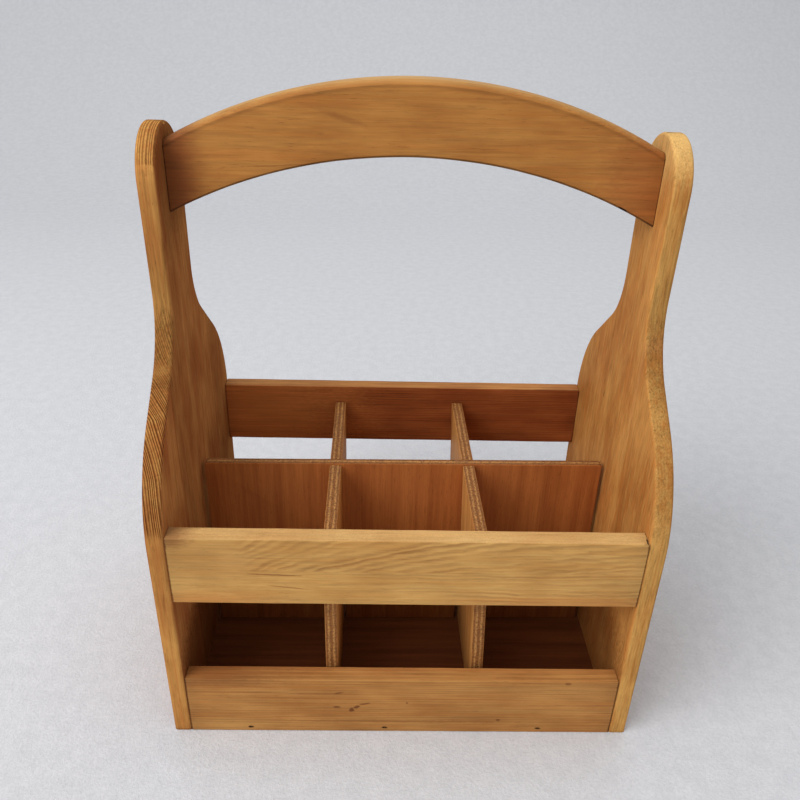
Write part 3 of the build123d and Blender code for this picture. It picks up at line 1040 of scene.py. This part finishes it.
def make_dividers():
    along = Vector((math.cos(GRID_TURN), math.sin(GRID_TURN), 0))
    across = Vector((-math.sin(GRID_TURN), math.cos(GRID_TURN), 0))
    upright = Vector((0, 0, 1))
    ground = Vector((0, 0, FLOOR_THICKNESS))
    lap = CROSS_DIVIDER["height"] / 2
    places = apart(DIVIDER_PITCH)
    ply_face = (srgb(180, 108, 54), srgb(152, 84, 40))
    cross_face = (srgb(206, 148, 82), srgb(178, 116, 60))

    material = plywood(
        "long_divider_ply", board_frame((0, 0, 61), upright, along),
        LONG_DIVIDER["thickness"], 3, ply_face, seed=3.7, darker_below=0.32)
    outline = divider_outline(
        LONG_DIVIDER["length"], LONG_DIVIDER["height"], places,
        CROSS_DIVIDER["thickness"] + 2 * CROSS_SLOT_PLAY, 0, lap + LAP_CLEARANCE)
    build = plate_mesh(outline, board_frame(ground, along, upright), LONG_DIVIDER["thickness"])
    link_mesh("long_divider", build, GRID, material)

    for name, middle, lean in (
        ("left_cross_divider", places[0], LEFT_CROSS_LEAN),
        ("right_cross_divider", places[1], RIGHT_CROSS_LEAN),
    ):
        tilted = upright * math.cos(lean) - along * math.sin(lean)
        foot = along * (middle + lap / 2 * math.sin(lean))
        lift = upright * (CROSS_DIVIDER["thickness"] / 2 * math.sin(lean))
        origin = ground + foot + lift
        material = plywood(
            name + "_ply", board_frame(origin + tilted * lap, tilted, across),
            CROSS_DIVIDER["thickness"], 5, cross_face, seed=5.1 + middle, darker_below=0.26)
        outline = divider_outline(
            CROSS_DIVIDER["length"], CROSS_DIVIDER["height"], [0],
            LONG_DIVIDER["thickness"] + 2 * LAP_CLEARANCE, lap, lap)
        place = board_frame(origin, across, tilted)
        build = plate_mesh(outline, place, CROSS_DIVIDER["thickness"])
        link_mesh(name, build, GRID, material)


def dress(piece, material):
    piece.data.materials.clear()
    piece.data.materials.append(material)


make_dividers()
dress(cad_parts["floor_panel"], plywood(
    "floor_ply", board_frame((0, 0, FLOOR_THICKNESS / 2), (1, 0, 0), (0, 1, 0)), FLOOR_THICKNESS, 3,
    (srgb(98, 52, 24), srgb(76, 38, 17)), seed=7.7))


# ------------ brads
def brad_steel():
    s = Shader("brad_steel")
    grime = s.noise(s.board_space(Matrix.Identity(4)), (0.6, 0.6, 0.6), 2.0, 3.0)
    colour = s.mix(s.ramp(grime, 0.35, 0.7), srgb(20, 13, 9), srgb(44, 34, 28))
    return s.finish(colour, s.add(s.times(grime, 0.4), 0.4), grime, 0.03, coat=0.0)


steel = brad_steel()
for name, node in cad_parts.items():
    if name.endswith("_brads"):
        dress(node, steel)


# ------------ floor, backdrop and light
BACKDROP = dict(front=-1.8, wall=2.0, bend=1.1, height=2.2, half_width=3.0)  # m


def make_backdrop():
    """A pale felted sheet that lies on the floor and curves up behind the caddy."""
    start = BACKDROP["wall"] - BACKDROP["bend"]
    profile = [(BACKDROP["front"], 0.0), (start, 0.0)]
    for step in range(1, 33):
        angle = math.pi / 2 * step / 32
        profile.append((
            start + BACKDROP["bend"] * math.sin(angle), BACKDROP["bend"] * (1 - math.cos(angle))))
    profile.append((BACKDROP["wall"], BACKDROP["height"]))
    build = bmesh.new()
    half = BACKDROP["half_width"]
    rows = [[build.verts.new((x, y, z)) for x in (-half, half)] for y, z in profile]
    for low, high in zip(rows, rows[1:]):
        build.faces.new((low[0], low[1], high[1], high[0]))
    sheet = smooth_mesh("backdrop", build)
    s = Shader("backdrop_felt")
    space = s.board_space(Matrix.Identity(4))
    fuzz = s.noise(space, (1.8, 1.8, 1.8), 1.0, 3.0, 0.75)
    cloud = s.noise(space, (9, 9, 9), 2.0, 3.0, 0.6)
    share = s.add(s.times(s.ramp(fuzz, 0.3, 0.7), 0.6), s.times(s.ramp(cloud, 0.3, 0.7), 0.4))
    colour = s.mix(share, srgb(199, 201, 205), srgb(217, 218, 222))
    dress(sheet, s.finish(colour, 0.9, fuzz, 0.5, coat=0.0, specular=0.1))


def area_light(name, place, aim, size, power):
    data = bpy.data.lights.new(name, "AREA")
    data.shape = "DISK"
    data.size = size
    data.energy = power
    lamp = add_object(name, data)
    lamp.location = place
    lamp.rotation_euler = (Vector(aim) - Vector(place)).to_track_quat("-Z", "Y").to_euler()


SKY_STRENGTH = 0.52

# Soft round lamps, in m and watts
LAMPS = (
    dict(name="window", place=(-1.3, -0.95, 1.35), aim=(0, 0, 0.12), size=1.6, power=27),
    dict(name="ceiling", place=(-0.2, -0.2, 2.3), aim=(0, 0, 0.1), size=1.8, power=11),
    dict(name="behind", place=(0.4, 0.9, 1.1), aim=(0.3, 0.55, 0), size=1.0, power=1.7),
)


def make_light():
    world = bpy.data.worlds.new("world")
    scene.world = world
    world.use_nodes = True
    background = world.node_tree.nodes["Background"]
    background.inputs["Color"].default_value = (1.0, 1.0, 1.0, 1.0)
    background.inputs["Strength"].default_value = SKY_STRENGTH
    for lamp in LAMPS:
        area_light(**lamp)


make_backdrop()
make_light()

scene.view_settings.view_transform = "Standard"
